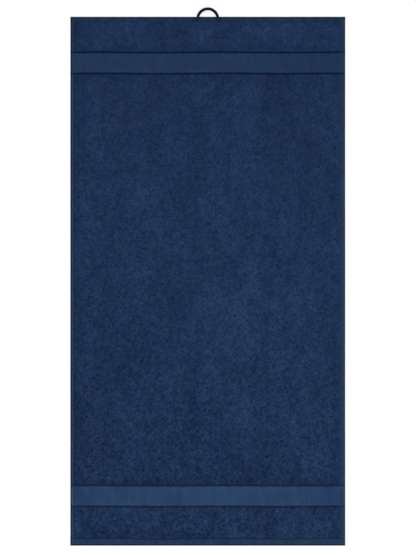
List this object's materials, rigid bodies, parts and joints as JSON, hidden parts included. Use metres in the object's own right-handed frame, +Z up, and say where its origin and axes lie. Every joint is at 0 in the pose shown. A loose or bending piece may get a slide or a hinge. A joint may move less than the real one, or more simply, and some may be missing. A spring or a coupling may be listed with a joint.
{
  "type": "hand towel",
  "caption": "Flat terry hand towel with stitched hems, a flat woven border near each end and a braided cord loop sewn into the top hem.",
  "frame": {"origin": "on the surface that the towel lies on, under the middle of the cloth (the loop left out)", "axes": "+Z up from the surface through the cloth, +Y along the cloth towards the end with the hanging loop, +X to the right seen from above"},
  "size_m": [0.5105, 0.999, 0.0056],
  "materials": {
    "terry": "navy cotton terry with loops on both sides, flat woven borders and stitched hems",
    "cord": "dark navy braided round cord"
  },
  "bodies": {
    "root": {"towel_cloth": "terry", "hanging_loop": "cord"}
  },
  "joints": []
}
